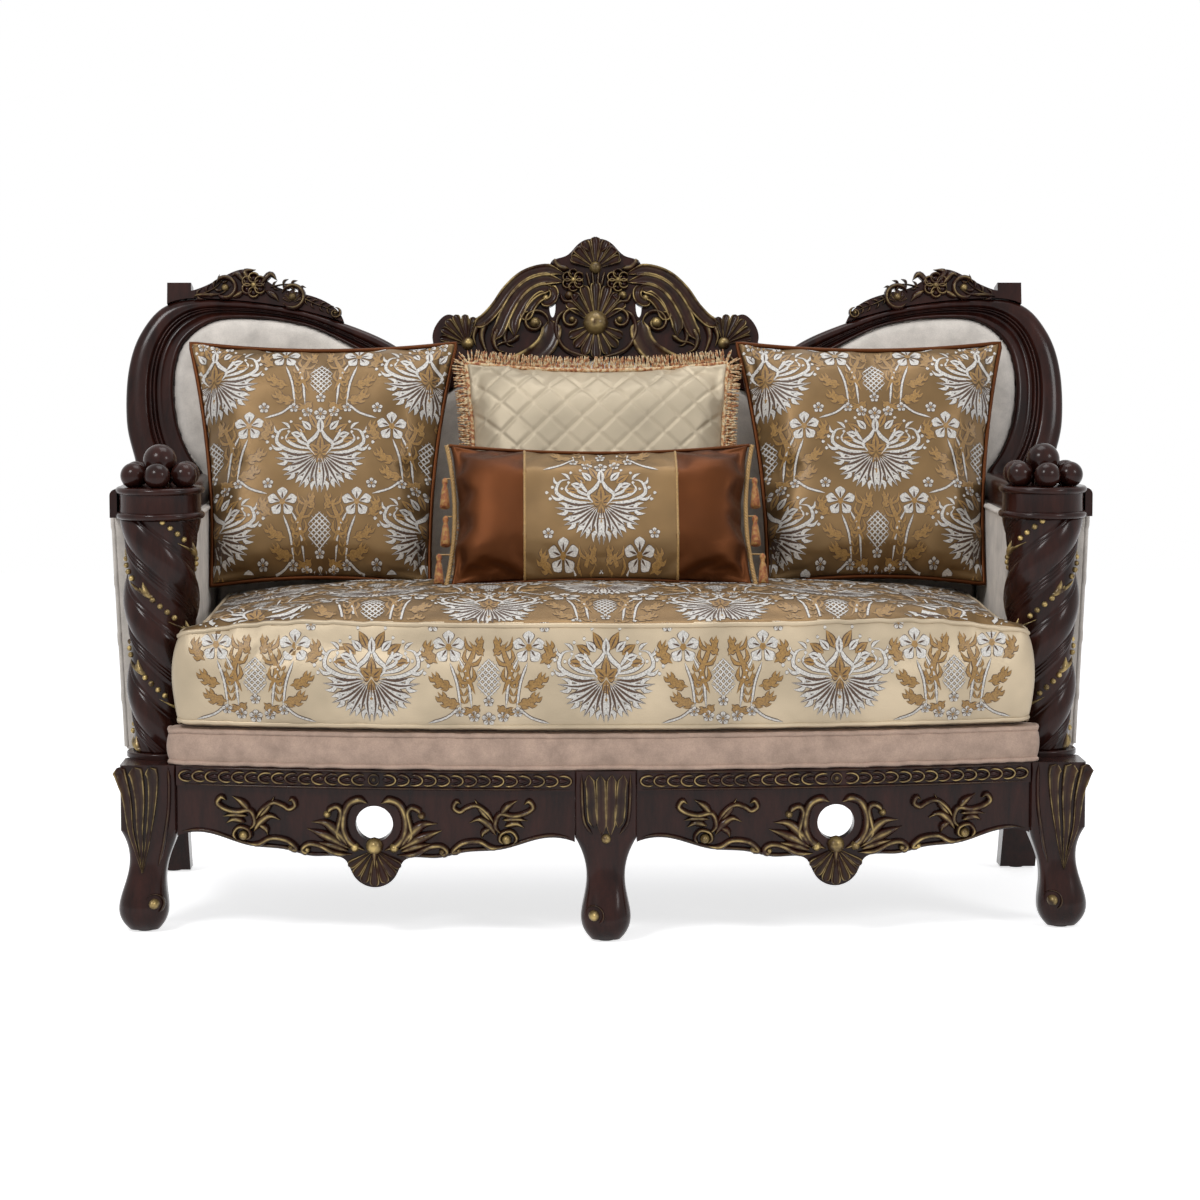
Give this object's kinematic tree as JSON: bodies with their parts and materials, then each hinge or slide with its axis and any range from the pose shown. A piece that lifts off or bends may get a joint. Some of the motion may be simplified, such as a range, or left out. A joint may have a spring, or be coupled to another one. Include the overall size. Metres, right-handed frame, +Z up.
{
  "type": "carved loveseat",
  "caption": "Carved dark-wood loveseat with a bowed front, twisted arm columns, a winged back under a pierced crest, a loose seat cushion and loose scatter pillows.",
  "frame": {"origin": "on the floor under the middle of the overall box", "axes": "seen from the front +X points right, +Y to the back and +Z up"},
  "size_m": [1.8456, 0.8857, 1.2446],
  "materials": {
    "show_wood": "gloss lacquer over very dark mahogany, antique gold on the carving",
    "inner_wood": "plain",
    "steel": "plain wire and bolts",
    "clip_plastic": "matte",
    "deck_fabric": "matte woven",
    "felt": "matte",
    "velvet": "crushed pile",
    "chenille": "chenille",
    "brocade": "satin ground with raised figure",
    "champagne_satin": "quilted satin",
    "fringe": "bullion fringe",
    "rust_satin": "satin",
    "gold_braid": "twisted braid"
  },
  "bodies": {
    "frame": {"arm_column_left": "show_wood", "arm_column_right": "show_wood", "arm_frame_left": "inner_wood", "arm_frame_right": "inner_wood", "arm_pad_left": "velvet", "arm_pad_right": "velvet", "arm_rest_left": "show_wood", "arm_rest_right": "show_wood", "back_block_left": "show_wood", "back_block_right": "show_wood", "back_crest": "show_wood", "back_seat_rail": "inner_wood", "back_stile_left": "inner_wood", "back_stile_right": "inner_wood", "back_tie_rails": "inner_wood", "back_wing_frame_left": "show_wood", "back_wing_frame_right": "show_wood", "capital_balls_left": "show_wood", "capital_balls_right": "show_wood", "column_capital_left": "show_wood", "column_capital_right": "show_wood", "column_plinth_left": "show_wood", "column_plinth_right": "show_wood", "corner_braces": "inner_wood", "deck_cloth": "deck_fabric", "dust_cover": "deck_fabric", "foot_glides": "clip_plastic", "front_apron_left": "show_wood", "front_apron_right": "show_wood", "front_leg_centre": "show_wood", "front_leg_left": "show_wood", "front_leg_right": "show_wood", "front_moulding_left": "show_wood", "front_moulding_right": "show_wood", "inner_front_rail": "inner_wood", "inside_back_centre": "velvet", "inside_back_left": "velvet", "inside_back_right": "velvet", "leg_bolts": "steel", "outside_back": "velvet", "rear_leg_left": "show_wood", "rear_leg_right": "show_wood", "seat_cross_rail": "inner_wood", "seat_felt": "felt", "seat_platform": "chenille", "seat_springs": "steel", "side_rail_left": "inner_wood", "side_rail_right": "inner_wood", "spring_clips": "clip_plastic", "wing_carving_left": "show_wood", "wing_carving_right": "show_wood"},
    "brocade_left": {"brocade_pillow_left": "brocade"},
    "brocade_right": {"brocade_pillow_right": "brocade"},
    "quilted": {"quilted_pillow": "champagne_satin", "quilted_pillow_fringe": "fringe"},
    "lumbar": {"lumbar_pillow": "rust_satin", "lumbar_braids": "gold_braid", "lumbar_tassels": "gold_braid"},
    "seat_cushion": {"seat_cushion": "brocade"}
  },
  "joints": [
    {"name": "seat_cushion_lift", "type": "slide", "parent": "frame", "child": "seat_cushion", "axis": [0, 0, 1], "range_m": [0, 0.2]},
    {"name": "brocade_left_lift", "type": "slide", "parent": "seat_cushion", "child": "brocade_left", "axis": [0, 0.2756, 0.9613], "range_m": [0, 0.1]},
    {"name": "brocade_right_lift", "type": "slide", "parent": "seat_cushion", "child": "brocade_right", "axis": [0, 0.2756, 0.9613], "range_m": [0, 0.1]},
    {"name": "quilted_lift", "type": "slide", "parent": "seat_cushion", "child": "quilted", "axis": [0, 0.3746, 0.9272], "range_m": [0, 0.15]},
    {"name": "lumbar_lift", "type": "slide", "parent": "seat_cushion", "child": "lumbar", "axis": [0, -0.5, 0.866], "range_m": [0, 0.2]}
  ]
}
